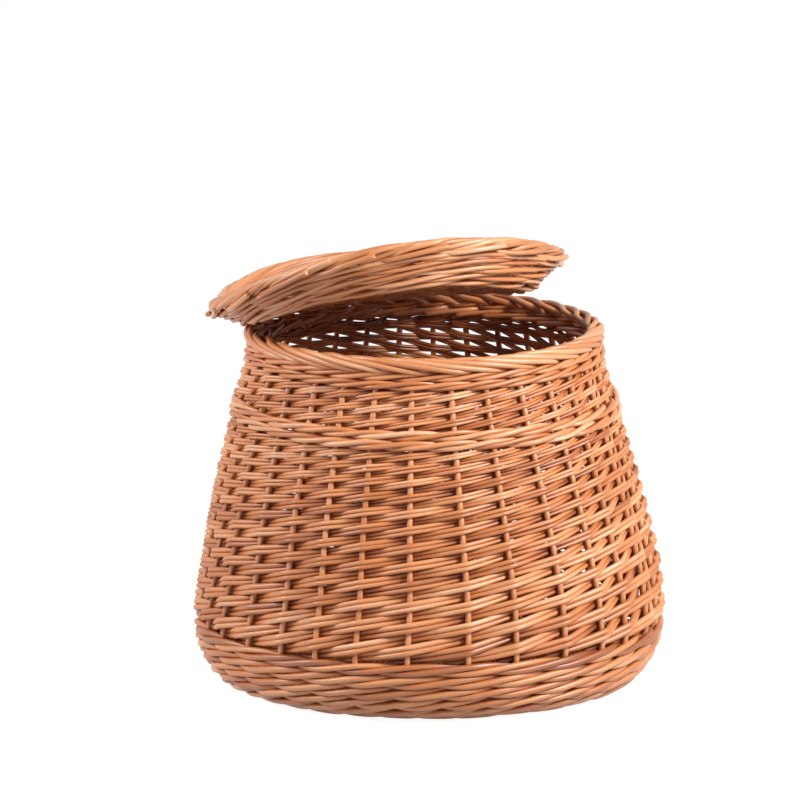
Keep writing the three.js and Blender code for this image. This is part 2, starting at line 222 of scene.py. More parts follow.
def rod_faces(count, sides):
    i, j = np.meshgrid(np.arange(count - 1), np.arange(sides), indexing="ij")
    near = i * sides + j
    beside = i * sides + (j + 1) % sides
    skin = np.stack([near, beside, beside + sides, near + sides], axis=2).reshape(-1, 4)
    edge = np.arange(sides)
    following = (edge + 1) % sides
    last = (count - 1) * sides
    hub = np.full(sides, count * sides)
    first_cut = np.stack([hub, following, edge], axis=1)
    last_cut = np.stack([hub + 1, last + edge, last + following], axis=1)
    return skin, np.concatenate([first_cut, last_cut])


print("change of tone, deep and outside:", PAINTED_SHADE_AND_LIGHT * PAINTED_SHADE_REACH[0], PAINTED_SHADE_AND_LIGHT * PAINTED_SHADE_REACH[1])

# %% [markdown]
# A finish that is painted or stored as a picture needs a flat map of the skin. Blender can unwrap a mesh
# by itself, but thousands of thin tubes come out as confetti. A rod is simpler than that: unrolled, it is
# a strip. The strips are laid one after another in rows, like rods on a bench, and after each strip its
# two cut ends follow as small discs.

# %% Map of the rods as strips
STRIP_MAP = "OFBake"
STRIP_SHARE = 0.9
CUT_SHARE = 0.4
CUT_ROOM = 1.2
WIDTHS_PER_ROD = 4


class StripMap:
    def __init__(self, walks, width):
        room = sum(walk[-1] for walk in walks) + WIDTHS_PER_ROD * width * len(walks)
        self.width = width
        self.row = math.sqrt(room * width)
        longest_step = max(np.diff(walk).max() for walk in walks)
        self.size = np.array([self.row + 2 * max(width, longest_step), math.ceil(room / self.row) + 1])
        self.laid = 0.0

    def lay_skin(self, walk, sides):
        start = self.laid + walk[:-1]
        left = (start % self.row)[:, None]
        right = left + np.diff(walk)[:, None]
        edge = np.broadcast_to(np.arange(sides), (len(start), sides))
        u = np.broadcast_to(np.stack([left, left, right, right], axis=2), (len(start), sides, 4))
        v = np.stack([edge, edge + 1, edge + 1, edge], axis=2) / sides * STRIP_SHARE
        v = v + np.floor(start / self.row)[:, None, None]
        self.laid += walk[-1] + self.width
        return (np.stack([u, v], axis=3) / self.size).reshape(-1, 2)

    def lay_cut(self, sides, forwards):
        row = math.floor(self.laid / self.row)
        hub = np.array([self.laid % self.row + self.width / 2, row + STRIP_SHARE / 2])
        turn = np.arange(sides + 1) * 2 * math.pi / sides
        rim = hub + CUT_SHARE * np.stack([self.width * np.cos(turn), np.sin(turn)], axis=1)
        pair = [rim[:-1], rim[1:]] if forwards else [rim[1:], rim[:-1]]
        self.laid += CUT_ROOM * self.width
        return (np.stack([np.broadcast_to(hub, (sides, 2)), *pair], axis=1) / self.size).reshape(-1, 2)


print("map of the skins:", STRIP_MAP, "with", STRIP_SHARE, "of each row used")

# %% [markdown]
# On the bench a band is many rods, but once it is woven nobody lifts a single rod out of it. Each rod
# could be an object of its own, which would make a long list that is slow to handle. So all rods of a
# band go into one mesh. The skins take the band's finish and the cut ends a finish of their own. The
# piece then rides on its body and stands for the solids that it replaces.

# %% Sweep many rods into one piece
def sweep_rods(name, rods, sides, finish):
    rods = [with_cut_ends(rod) for rod in rods]
    walks = [distance_along(rod.line) for rod in rods]
    strips = StripMap(walks, 2 * math.pi * max(rod.radius.max() for rod in rods))
    points, grains, tones, skins, cuts, skin_map, cut_map = [], [], [], [], [], [], []
    first = 0
    for rod, walk in zip(rods, walks):
        rod_co, grain, tone = rod_points(rod, walk, sides)
        skin, cut = rod_faces(len(rod.line), sides)
        points.append(rod_co)
        grains.append(grain)
        tones.append(tone)
        skins.append(skin + first)
        cuts.append(cut + first)
        skin_map.append(strips.lay_skin(walk, sides))
        cut_map += [strips.lay_cut(sides, False), strips.lay_cut(sides, True)]
        first += len(rod_co)
    skins, cuts = np.concatenate(skins), np.concatenate(cuts)
    mesh = bpy.data.meshes.new(name)
    mesh.from_pydata(np.concatenate(points).tolist(), [], skins.tolist() + cuts.tolist())
    mesh.uv_layers.new(name=STRIP_MAP).data.foreach_set("uv", np.concatenate(skin_map + cut_map).ravel())
    grain_note = mesh.attributes.new("grain", "FLOAT_VECTOR", "POINT")
    grain_note.data.foreach_set("vector", np.concatenate(grains).ravel())
    tone_note = mesh.attributes.new("tone", "FLOAT", "POINT")
    tone_note.data.foreach_set("value", np.concatenate(tones))
    is_cut = np.arange(len(mesh.polygons)) >= len(skins)
    mesh.materials.append(finish)
    mesh.materials.append(cut_willow)
    mesh.polygons.foreach_set("material_index", is_cut.astype(np.int32))
    mesh.polygons.foreach_set("use_smooth", ~is_cut)
    mesh.update()
    piece = bpy.data.objects.new(name, mesh)
    bpy.context.scene.collection.objects.link(piece)
    print(name, "rods:", len(rods), "faces:", len(mesh.polygons))
    return piece


def hang_on(piece, body, nodes):
    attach(piece, body)
    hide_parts(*nodes)


# %% [markdown]
# A finish in Blender is a small graph of nodes. Three moves come up again and again in willow: noise
# along the rod, a sum of shares, and a ramp that turns a number into a colour. A picture of wood would
# repeat and stretch. Noise that reads the place noted on the rod gives grain that follows every bend.

# %% Noise, shares and ramps
def noise_along(tree, scale, detail):
    grain = tree.nodes.new("ShaderNodeAttribute")
    grain.attribute_name = "grain"
    stretch = tree.nodes.new("ShaderNodeVectorMath")
    stretch.operation = "MULTIPLY"
    stretch.inputs[1].default_value = scale
    tree.links.new(grain.outputs["Vector"], stretch.inputs[0])
    noise = tree.nodes.new("ShaderNodeTexNoise")
    noise.inputs["Scale"].default_value = 1.0
    noise.inputs["Detail"].default_value = detail
    tree.links.new(stretch.outputs["Vector"], noise.inputs["Vector"])
    return noise.outputs["Fac"]


def add_share(tree, value, share, rest):
    node = tree.nodes.new("ShaderNodeMath")
    node.operation = "MULTIPLY_ADD"
    node.inputs[1].default_value = share
    tree.links.new(value, node.inputs[0])
    if isinstance(rest, float):
        node.inputs[2].default_value = rest
    else:
        tree.links.new(rest, node.inputs[2])
    return node.outputs["Value"]


def colour_ramp(tree, value, stops):
    ramp = tree.nodes.new("ShaderNodeValToRGB")
    elements = ramp.color_ramp.elements
    while len(elements) < len(stops):
        elements.new(0.5)
    for element, (position, colour) in zip(elements, stops):
        element.position = position
        element.color = (*colour, 1.0)
    tree.links.new(value, ramp.inputs["Fac"])
    return ramp.outputs["Color"]


# %% [markdown]
# Buff willow is boiled with its bark on and then peeled, which stains the wood orange to red brown. Each
# rod has its own tone, the stain is patchy along it, fine grain runs lengthwise, small dark specks sit in
# the skin, and the skin has a satin shine. One flat brown would look like plastic. So tone, stain and
# streaks are added up to one number for the ramp, the specks darken it, and the streaks also change the
# gloss and raise the grain.

# %% Willow finish
STREAK_SCALE = (28.0, 1300.0, 1300.0)
STAIN_SCALE = (11.0, 120.0, 120.0)
SPECK_SCALE = (420.0, 900.0, 900.0)
STREAK_DETAIL, STAIN_DETAIL, SPECK_DETAIL = 3.0, 2.0, 1.0
TONE_SHARE, STAIN_SHARE, STREAK_SHARE = 0.5, 0.55, 0.3
MIDDLE_TONE = 0.455
SPECK_COLOURS = [(0.24, (0.5, 0.38, 0.3)), (0.33, (1, 1, 1))]
GLOSS_CHANGE = 0.24
SHINE = 1.0
GRAIN_STRENGTH = 0.35
GRAIN_HEIGHT = 0.0004
GRAIN_STREAKS = 0.7


def willow(name, colours, roughness):
    material = bpy.data.materials.new(name)
    material.use_nodes = True
    tree = material.node_tree
    shader = tree.nodes["Principled BSDF"]
    # The tone attribute holds each rod's own tone plus the painted shade and painted light of the sweep.
    tone = tree.nodes.new("ShaderNodeAttribute")
    tone.attribute_name = "tone"
    streaks = noise_along(tree, STREAK_SCALE, STREAK_DETAIL)
    stain = noise_along(tree, STAIN_SCALE, STAIN_DETAIL)
    middle = MIDDLE_TONE - 0.5 * (TONE_SHARE + STAIN_SHARE + STREAK_SHARE)
    value = add_share(tree, tone.outputs["Fac"], TONE_SHARE, middle)
    value = add_share(tree, stain, STAIN_SHARE, value)
    value = add_share(tree, streaks, STREAK_SHARE, value)
    skin = colour_ramp(tree, value, colours)
    specks = colour_ramp(tree, noise_along(tree, SPECK_SCALE, SPECK_DETAIL), SPECK_COLOURS)
    speckled = tree.nodes.new("ShaderNodeMix")
    speckled.data_type = "RGBA"
    speckled.blend_type = "MULTIPLY"
    speckled.inputs["Factor"].default_value = 1.0
    tree.links.new(skin, speckled.inputs["A"])
    tree.links.new(specks, speckled.inputs["B"])
    tree.links.new(speckled.outputs["Result"], shader.inputs["Base Color"])
    gloss = add_share(tree, streaks, GLOSS_CHANGE, roughness - GLOSS_CHANGE / 2)
    tree.links.new(gloss, shader.inputs["Roughness"])
    shader.inputs["Specular IOR Level"].default_value = SHINE
    bump = tree.nodes.new("ShaderNodeBump")
    bump.inputs["Strength"].default_value = GRAIN_STRENGTH
    bump.inputs["Distance"].default_value = GRAIN_HEIGHT
    tree.links.new(add_share(tree, streaks, GRAIN_STREAKS, stain), bump.inputs["Height"])
    tree.links.new(bump.outputs["Normal"], shader.inputs["Normal"])
    return material


print("scale of the streaks along and across a rod:", STREAK_SCALE[:2])

# %% [markdown]
# The weavers are thin rods with a deep stain. The stakes and the borders are thicker rods, which are
# paler and a little smoother. One finish that is only made lighter could do for both, but their dark ends
# differ in hue. So each has a ramp of its own, from the darkest stain, where the painted shade deep in the
# weave also lands, to the most faded skin, where the painted light on the rods' outer faces lands.

# %% Colours of the weavers and the stakes
WEAVER_COLOURS = [
    (0.10, (0.24, 0.048, 0.005)),
    (0.36, (0.53, 0.166, 0.039)),
    (0.60, (0.70, 0.280, 0.101)),
    (0.88, (0.87, 0.510, 0.290)),
]
STAKE_COLOURS = [
    (0.10, (0.30, 0.070, 0.010)),
    (0.40, (0.59, 0.210, 0.063)),
    (0.65, (0.73, 0.325, 0.137)),
    (0.88, (0.85, 0.510, 0.290)),
]
WEAVER_ROUGHNESS = 0.44
STAKE_ROUGHNESS = 0.42
weaver_willow = willow("weaver_willow", WEAVER_COLOURS, WEAVER_ROUGHNESS)
stake_willow = willow("stake_willow", STAKE_COLOURS, STAKE_ROUGHNESS)
print("finishes:", weaver_willow.name, stake_willow.name)

# %% [markdown]
# Where a rod is cut, the pale wood shows, with a soft brown pith in its middle and a darker edge. The
# rings could be modelled, but they are less than a millimetre wide. The place noted on the rod has the
# distance from the rod's middle in it, so one ramp paints them.

# %% Cut ends
PITH_RADIUS = 0.0007
PITH_SHARE = 0.25
RING_COLOURS = [
    (0.0, (0.30, 0.15, 0.07)),
    (0.3, (0.74, 0.47, 0.26)),
    (0.75, (0.80, 0.52, 0.30)),
    (1.0, (0.62, 0.33, 0.16)),
]
CUT_ROUGHNESS = 0.75


def cut_wood(name):
    material = bpy.data.materials.new(name)
    material.use_nodes = True
    tree = material.node_tree
    grain = tree.nodes.new("ShaderNodeAttribute")
    grain.attribute_name = "grain"
    across = tree.nodes.new("ShaderNodeVectorMath")
    across.operation = "MULTIPLY"
    across.inputs[1].default_value = (0.0, PITH_SHARE / PITH_RADIUS, PITH_SHARE / PITH_RADIUS)
    tree.links.new(grain.outputs["Vector"], across.inputs[0])
    reach = tree.nodes.new("ShaderNodeVectorMath")
    reach.operation = "LENGTH"
    tree.links.new(across.outputs["Vector"], reach.inputs[0])
    shader = tree.nodes["Principled BSDF"]
    tree.links.new(colour_ramp(tree, reach.outputs["Value"], RING_COLOURS), shader.inputs["Base Color"])
    shader.inputs["Roughness"].default_value = CUT_ROUGHNESS
    return material


cut_willow = cut_wood("cut_willow")
print("cut ends:", cut_willow.name)

# %% [markdown]
# The siding is slewed: thirty-two pairs of rods start at the foot, one pair at each stake, and climb one
# row for each stake they pass, in front of one and behind the next. So every row is either in front of
# all the stakes or behind all of them, and the stakes show as level rows of short upright pieces. Rows
# could be stacked as plain rings, but then no rod would ever climb. The rods are butts at the foot and
# taper on the way up, so the rows get closer. A table of the rows' heights drives the pairs and the
# stakes alike.

# %% Rows of the siding
LOWER_ROWS = 24
UPPER_ROWS = 6
ROW_THINNING = 0.32
FIRST_ROW_UP = 0.003
UPPER_ROW_DOWN = 0.0005
LAST_ROW_DOWN = 0.001


def seam(below, above):
    return (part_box(below)[1].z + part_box(above)[0].z) / 2


FOOT_SEAM = seam("upsett_wale", "lower_siding")
WAIST_SEAM = seam("lower_siding", "waist_wale")
UPPER_SEAM = seam("waist_wale", "upper_siding")
TOP_SEAM = seam("upper_siding", "top_wale")


def spread_rows(count, thinning, low, high):
    t = np.arange(count + 1) / count
    return low + (high - low) * (t + thinning * (t - t * t))


lower_low, lower_high = climb_at(FOOT_SEAM) + FIRST_ROW_UP, climb_at(WAIST_SEAM) - LAST_ROW_DOWN
upper_low, upper_high = climb_at(UPPER_SEAM) - UPPER_ROW_DOWN, climb_at(TOP_SEAM) - LAST_ROW_DOWN
lower_rows = spread_rows(LOWER_ROWS, ROW_THINNING, lower_low, lower_high)
upper_rows = spread_rows(UPPER_ROWS, 0.0, upper_low, upper_high)
print("first and last lower row in mm:", (1000 * np.diff(lower_rows)[[0, -1]]).round(1))
print("each upper row in mm:", (1000 * np.diff(upper_rows)[0]).round(1))

# %% [markdown]
# The stakes stand two to each spoke of the base. They could stand evenly, but by hand they never do: on
# this hamper those at the front are spread wider than those at the back. The spread is a short list, in
# degrees from an even place, for the stakes that the photograph shows, from the left side to the right.
# It fades out in the base, where the spokes set the places.

# %% Places of the stakes
STAKE_COUNT = 32
FIRST_STAKE = math.radians(-93.2)
STAKE_STEP = 2 * math.pi / STAKE_COUNT
SHOWN_FROM = -7
SHOWN_SPREAD = np.array([-4.5, -3.4, -4.2, -3.4, -3.0, -3.8, -4.0, -2.1, 1.5, 2.7, 5.3, 6.5, 5.3, 6.5, 6.0])
SPREAD_CLIMB = [0.0, 0.07, 0.2, climb_at(WALL_TOP)]
SPREAD_SHARE = [0.0, 1.1, 0.85, 0.4]
shown_stakes = SHOWN_FROM + np.arange(len(SHOWN_SPREAD))


def stake_angle(k, climb):
    spread = np.interp(k, shown_stakes, SHOWN_SPREAD, period=STAKE_COUNT)
    return FIRST_STAKE + k * STAKE_STEP + np.radians(spread) * np.interp(climb, SPREAD_CLIMB, SPREAD_SHARE)


print("widest spread in degrees:", SHOWN_SPREAD.min(), SHOWN_SPREAD.max())

# %% [markdown]
# A hamper made by eye is never quite upright or quite round. The neck of this one stands a little to the
# left, its belly a little to the right, and the belly swells above the foot. A deforming modifier could
# do this, but the solids are upright and each band is its own mesh. So two short tables give a sideways
# step and a swell by height, and every rod of the basket goes through them just before it is swept.

# %% Lean of the basket
LEAN_HEIGHTS = [0.0, 0.03, 0.12, 0.20, 0.31, 0.37]
LEAN = [0.0, 0.0005, 0.0030, 0.0, -0.0030, -0.0030]
SWELL = [1.0, 1.0, 1.006, 1.008, 1.0, 1.0]


def lean(rods):
    leaning = []
    for rod in rods:
        height = rod.line[:, 2]
        swell = np.interp(height, LEAN_HEIGHTS, SWELL)
        aside = np.interp(height, LEAN_HEIGHTS, LEAN)
        line = np.stack([rod.line[:, 0] * swell + aside, rod.line[:, 1] * swell, height], axis=1)
        leaning.append(rod._replace(line=line))
    return leaning


def basket_piece(name, rods, sides, finish, nodes):
    hang_on(sweep_rods(name, lean(rods), sides, finish), "basket", nodes)


print("lean in mm:", 1000 * np.array(LEAN))

# %% [markdown]
# A rod behind a stake pushes it out a little and a rod in front pushes it in, so each stake sways
# slightly from row to row. Straight cylinders would look turned on a lathe. The stakes are rods along the
# wall line, with that sway and with a thickness that wavers, as grown wood does. The waver is a mean of a
# few slow waves, and every other rod will use it too.

# %% Stakes
STAKE_RADIUS = 0.003
STAKE_SIZES = (0.95, 1.06)
STAKE_TONES = (0.2, 0.9)
STAKE_POINT_STEP = 0.0035
STAKE_SWAY = 0.0005
SWAY_REACH = 0.004
STAKE_UNEVEN = 0.03
STEPS_PER_METRE = 60
STOUT_SIDES = 10
WAVES = 3
WAVE_LENGTHS = (2.5, 9.0)


def sway(climb):
    out = np.zeros_like(climb)
    for rows in (lower_rows, upper_rows):
        row = np.interp(climb, rows, np.arange(len(rows)))
        inside = (climb > rows[0] - SWAY_REACH) & (climb < rows[-1] + SWAY_REACH)
        out += np.where(inside, STAKE_SWAY * np.cos(math.pi * row), 0)
    return out


def waver(steps, size):
    periods = rng.uniform(*WAVE_LENGTHS, WAVES)
    starts = rng.uniform(0, 2 * math.pi, WAVES)
    return size * np.sin(2 * math.pi * np.outer(steps, 1 / periods) + starts).mean(axis=1)


def stake(k):
    climb = np.arange(-SOCKET_DEPTH, climb_at(WALL_TOP), STAKE_POINT_STEP)
    angle = stake_angle(np.full(len(climb), k), climb)
    radius = STAKE_RADIUS * rng.uniform(*STAKE_SIZES) * (1 + waver(climb * STEPS_PER_METRE, STAKE_UNEVEN))
    return Rod(on_wall(angle, climb, sway(climb)), radius, outward(angle, climb), rng.uniform(*STAKE_TONES))


stake_nodes = [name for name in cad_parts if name.startswith("stake_")]
stakes = [stake(k) for k in range(STAKE_COUNT)]
basket_piece("stakes", stakes, STOUT_SIDES, stake_willow, stake_nodes)

# %% [markdown]
# Each pair of the siding is two rods lying together. Their way in and out could be a sine wave, but a
# willow rod is pulled tight: it bends sharply at a stake and runs straight to the next one, and its outer
# face lies a little hollow between two bends. So the way is a zigzag, and the points of the line crowd at
# the bends and are few between them, which keeps the bends crisp and the mesh light.

# %% One pair of the siding
ROD_SIDES = 9
STROKE = np.array([0.04, 0.10, 0.37, 0.63, 0.90, 0.96])
ROD_END = 0.55
END_SLOPE = 0.006
BACK_PACKING = 0.05
FLATNESS = 0.0011
CLIMB_WAVER = 0.0004
OUT_WAVER = 0.0003
SIDING_SIZES = (0.96, 1.05)
SIDING_UNEVEN = 0.05
WEAVER_TONES = (0.1, 0.9)
PAIR_CONTRAST = 0.12


def in_and_out(steps):
    return (2 * np.abs((steps + 1) % 2 - 1) - 1) / (1 - 2 * STROKE[0])


def hollow_between(steps):
    part = steps % 1
    return -4 * FLATNESS * part * (1 - part)


def slewed_pair(k, rows, share, spacing, paler):
    last = len(rows) - 1
    steps = (np.arange(-1, last + 1)[:, None] + STROKE).ravel()
    steps = steps[(steps > -ROD_END) & (steps < last + ROD_END)]
    woven = np.clip(steps, 0, last)
    pitch = np.interp(woven, np.arange(last) + 0.5, np.diff(rows))
    level = np.interp(woven, np.arange(last + 1), rows) + END_SLOPE * (steps - woven)
    level = level + waver(steps, CLIMB_WAVER)
    angle = stake_angle(k + steps, level)
    tone = rng.uniform(*WEAVER_TONES)
    pair = []
    for place in (-1, 1):
        packing = 1 + BACK_PACKING * np.sin(angle)
        radius = share * packing * pitch * rng.uniform(*SIDING_SIZES) * (1 + waver(steps, SIDING_UNEVEN))
        climb = level + place * spacing * pitch + waver(steps, CLIMB_WAVER)
        out = in_and_out(woven) * (STAKE_RADIUS + radius) + hollow_between(woven) + waver(steps, OUT_WAVER)
        own_tone = np.clip(tone + rng.normal(0, PAIR_CONTRAST), 0, 1) + paler
        pair.append(Rod(on_wall(angle, climb, out), radius, outward(angle, climb), own_tone, out))
    return pair


print("a rod has", len(STROKE), "points from one stake to the next")

# %% [markdown]
# The lower siding reaches from the foot to the waist, and the upper siding is the same weave in thinner
# and paler rods. One pair could be turned round the basket thirty-two times, but then every flaw would
# come back at each stake. Here each pair is made anew. A rod's thickness and the distance within a pair
# are shares of the row's height, so the rods close up with the rows.

# %% Lower and upper siding
def slewed_band(name, node, rows, share, spacing, paler):
    rods = [rod for k in range(STAKE_COUNT) for rod in slewed_pair(k, rows, share, spacing, paler)]
    basket_piece(name, rods, ROD_SIDES, weaver_willow, [node])


slewed_band("lower_siding_rods", "lower_siding", lower_rows, share=0.268, spacing=0.252, paler=0.03)
slewed_band("upper_siding_rods", "upper_siding", upper_rows, share=0.264, spacing=0.245, paler=0.20)

# %% [markdown]
# Waling is the strong weave at the foot, the waist and under the rim. Three rods work together, each in
# front of two stakes and behind the third, one stake apart. In front, a rod starts below its neighbours
# and ends above them, which gives the look of a rope. A twisted rope round the basket would be quicker to
# make, but it would run through the stakes. One stroke is three stakes long, so a rod's way in and out
# and its way up and down are short sums of waves with that period. Each round starts at the back, with
# its ends tucked away.

# %% One round of waling
WALE_RODS = 3
WALE_OUT_WAVES = (1.05, 0.283)
WALE_LIFT_WAVE = 0.58
POINTS_PER_STAKE = 7
HEAD_LENGTH, HEAD_DROP = 0.7, 0.5
TAIL_LENGTH, TAIL_RISE = 0.5, 0.6
WALE_SIZES = (0.92, 1.06)
WALE_UNEVEN = 0.08
WALE_CLIMB_WAVER = 0.0006
WALE_OUT_WAVER = 0.0004


def wale_out(steps):
    turn = 2 * math.pi * steps / WALE_RODS
    return 1 / WALE_RODS - WALE_OUT_WAVES[0] * np.cos(turn) - WALE_OUT_WAVES[1] * np.cos(2 * turn)


def wale_lift(steps):
    return -WALE_LIFT_WAVE * np.sin(2 * math.pi * steps / WALE_RODS)


def last_stake(first, count):
    return next(n for n in range(count, count + WALE_RODS) if n % WALE_RODS == first)


def waled_round(level, radius, tightness, start, paler):
    rods = []
    for first in range(WALE_RODS):
        last = last_stake(first, STAKE_COUNT)
        steps = np.arange(first - ROD_END, last + ROD_END, 1 / POINTS_PER_STAKE)
        thickness = radius * rng.uniform(*WALE_SIZES) * (1 + waver(steps, WALE_UNEVEN))
        tail = np.clip(steps - STAKE_COUNT + TAIL_LENGTH, 0, 2) * TAIL_RISE
        tucked = tail - np.clip(first + HEAD_LENGTH - steps, 0, 1) * HEAD_DROP
        climb = level + 2 * radius * (wale_lift(steps - first) + tucked) + waver(steps, WALE_CLIMB_WAVER)
        angle = stake_angle(start + steps, climb)
        reach = STAKE_RADIUS + thickness
        out = wale_out(steps - first) * reach * tightness + waver(steps, WALE_OUT_WAVER)
        tone = rng.uniform(*WEAVER_TONES) + paler
        rods.append(Rod(on_wall(angle, climb, out), thickness, outward(angle, climb), tone, out))
    return rods


print("ways out at three stakes, in rods:", wale_out(np.arange(WALE_RODS)).round(2))

# %% [markdown]
# The band at the foot, the upsett, turns the stakes upwards and takes the knocks. It has seven rounds of
# the thickest rods, pulled tight, with their tone lowered as painted shade, since the band faces down at
# the foot. The waist has two rounds and the top three thin ones, which hold the siding down. One round
# could be copied upwards, but its marks would line up in columns. So each round is made anew, starts one
# stake further on, and stands on the one below.

# %% Bands of waling
WALE_ENDS_AT = 16
ROUND_HEIGHT = 3.75
UPSETT_RADII = [0.0026, 0.0030, 0.0032, 0.0034, 0.0034, 0.0034, 0.0032]
WAIST_RADII = [0.0026, 0.0026]
TOP_RADII = [0.0023, 0.0023, 0.0019]
WAIST_SINK = 0.0015
TOP_SINK = 0.001


def waled_band(name, node, low, rod_radii, tightness, paler):
    rods = []
    level = low
    for i, radius in enumerate(rod_radii):
        rods += waled_round(level + ROUND_HEIGHT / 2 * radius, radius, tightness, WALE_ENDS_AT + i, paler)
        level += ROUND_HEIGHT * radius
    print(name, "reaches climb", round(level, 4))
    basket_piece(name, rods, STOUT_SIDES, weaver_willow, [node])


upsett_low = climb_at(FOOT_SEAM) - ROUND_HEIGHT * sum(UPSETT_RADII)
waist_low = climb_at(WAIST_SEAM) - WAIST_SINK
top_low = climb_at(TOP_SEAM) - TOP_SINK
# The upsett's paler=-0.16 is painted shade on the downward-facing foot band.
waled_band("upsett_rods", "upsett_wale", upsett_low, UPSETT_RADII, tightness=0.8, paler=-0.16)
waled_band("waist_rods", "waist_wale", waist_low, WAIST_RADII, tightness=1.0, paler=0.10)
waled_band("top_wale_rods", "top_wale", top_low, TOP_RADII, tightness=1.0, paler=0.12)

# %% [markdown]
# The border is made of the stakes' own tops. Each one leans to the right, passes inside the next stake,
# comes over the top, sweeps down outside across the next ones and goes back in under the later ones,
# where it is cut off. A braided ring could stand for it, but the crossings would not show. So one path,
# given by a few places and smoothed, is turned round the rim stake by stake, with small errors of the
# hand. Each place holds how many stakes along it lies, how far out from the rim's middle, and how far
# above it.

# %% Path of a border rod
BORDER_PLACES = np.array([
    (0.00, 0.0016, -0.0170),
    (0.06, 0.0005, -0.0080),
    (0.40, -0.0032, 0.0000),
    (1.00, -0.0052, 0.0045),
    (1.50, 0.0000, 0.0066),
    (2.00, 0.0052, 0.0064),
    (3.00, 0.0080, 0.0024),
    (4.00, 0.0070, -0.0026),
    (4.50, 0.0010, -0.0060),
    (5.00, -0.0080, -0.0085),
    (6.20, -0.0100, -0.0125),
])


def smooth_through(places, points_per_gap):
    padded = np.concatenate([[2 * places[0] - places[1]], places, [2 * places[-1] - places[-2]]])
    t = np.linspace(0, 1, points_per_gap, endpoint=False)[:, None]
    runs = []
    for a, b, c, d in zip(padded, padded[1:], padded[2:], padded[3:]):
        bend = 2 * a - 5 * b + 4 * c - d
        turn = 3 * b - a - 3 * c + d
        runs.append(0.5 * (2 * b + (c - a) * t + bend * t**2 + turn * t**3))
    return np.concatenate(runs + [places[-1:]])


print("a border rod passes", BORDER_PLACES[-1, 0], "stakes")

# %% [markdown]
# A stake is thickest where it leaves the wall and thins out along the border. A rod of one thickness
# would make the rim too heavy where it goes back in, so each border rod tapers a little.

# %% Border
BORDER_ROD = 0.0030
BORDER_SIZES = (0.94, 1.06)
BORDER_POINTS = 9
BORDER_JITTER = (0.06, 0.0003, 0.0003)
THICK_END, THINNING_PER_STAKE = 1.10, 0.05
BORDER_HEIGHT = (border_high.z + border_low.z) / 2


def border_rod(k, places, ring_radius, ring_height, angle_at, rod_radius):
    jitter = rng.normal(0, 1, places.shape) * BORDER_JITTER
    steps, out, up = smooth_through(places + jitter, BORDER_POINTS).T
    angle = angle_at(k + steps)
    line = round_the_axis(angle, ring_radius + out, ring_height + up)
    taper = THICK_END - THINNING_PER_STAKE * steps
    facing = round_the_axis(angle, np.ones_like(angle), 0 * angle)
    return Rod(line, rod_radius * rng.uniform(*BORDER_SIZES) * taper, facing, rng.uniform(*STAKE_TONES))


def rim_angle(k):
    return stake_angle(k, climb_at(WALL_TOP))


border_rods = []
for k in range(STAKE_COUNT):
    border_rods.append(border_rod(k, BORDER_PLACES, MOUTH_RADIUS, BORDER_HEIGHT, rim_angle, BORDER_ROD))
basket_piece("border_rods", border_rods, STOUT_SIDES, stake_willow, ["border"])

# %% [markdown]
# Base and lid start alike: four sticks laid over four as a cross, fanned out into sixteen spokes. Sixteen
# straight spokes from the middle would be simpler, but nothing would hold them. So each stick runs
# through from edge to edge, lies in its own layer at the cross, and bends out to its place in the fan.

# %% Crossed sticks
STICKS_EACH_WAY = 4
SPOKES = 16
SPOKE_STEP = 2 * math.pi / SPOKES
STICK_GAP = 0.0006
STICK_MIDDLE = 0.6
STICK_POINTS = 6
STICK_TONES = (0.1, 0.8)
UP = np.array([0.0, 0.0, 1.0])


def cross_size(radius):
    return STICKS_EACH_WAY * (2 * radius + STICK_GAP) / 2 + radius


def crossed_sticks(reach, hub, radius, height):
    pitch = 2 * radius + STICK_GAP
    crossing = cross_size(radius)
    sticks = []
    for layer in (0, 1):
        for k in range(STICKS_EACH_WAY):
            place = k - (STICKS_EACH_WAY - 1) / 2
            fan = place * SPOKE_STEP
            lift = radius * (1 - 2 * layer)
            half = np.array([
                (crossing, place * pitch, lift),
                (hub * math.cos(fan), hub * math.sin(fan), 0),
                (STICK_MIDDLE * reach * math.cos(fan), STICK_MIDDLE * reach * math.sin(fan), 0),
                (reach * math.cos(fan), reach * math.sin(fan), 0),
            ])
            places = np.concatenate([half[::-1] * (-1, 1, 1), half])
            line = smooth_through(places, STICK_POINTS) + (0, 0, height)
            if layer:
                line = np.stack([-line[:, 1], line[:, 0], line[:, 2]], axis=1)
            facing = np.broadcast_to(UP, line.shape)
            sticks.append(Rod(line, np.full(len(line), radius), facing, rng.uniform(*STICK_TONES)))
    return sticks


print("spokes:", SPOKES, "one every", math.degrees(SPOKE_STEP), "degrees")

# %% [markdown]
# Pairing binds the spokes: two rods twist round each other and take a spoke between them at each half
# turn. It starts right at the cross, where the sticks still lie in two layers, and its first rounds rise
# and fall with them. Flat rings would be simpler, but a maker never closes a ring. So the pairing is one
# long spiral, cut into rods of a natural length, each with a thickness and a tone of its own.

# %% Pairing
PAIRING_SIDES = 6
PAIRING_POINTS = 6
PAIRING_PITCH = 2.7
PAIRING_TWIST = 0.6
PAIRING_PRESS = 0.9
PAIRING_SIZES = (0.94, 1.05)
PAIRING_ROD_LENGTH = 0.8
SHORTEST_ROD = 0.2
OVERLAP_POINTS = 3
LAYER_STEEPNESS, LAYER_LIFT = 2.6, 0.6


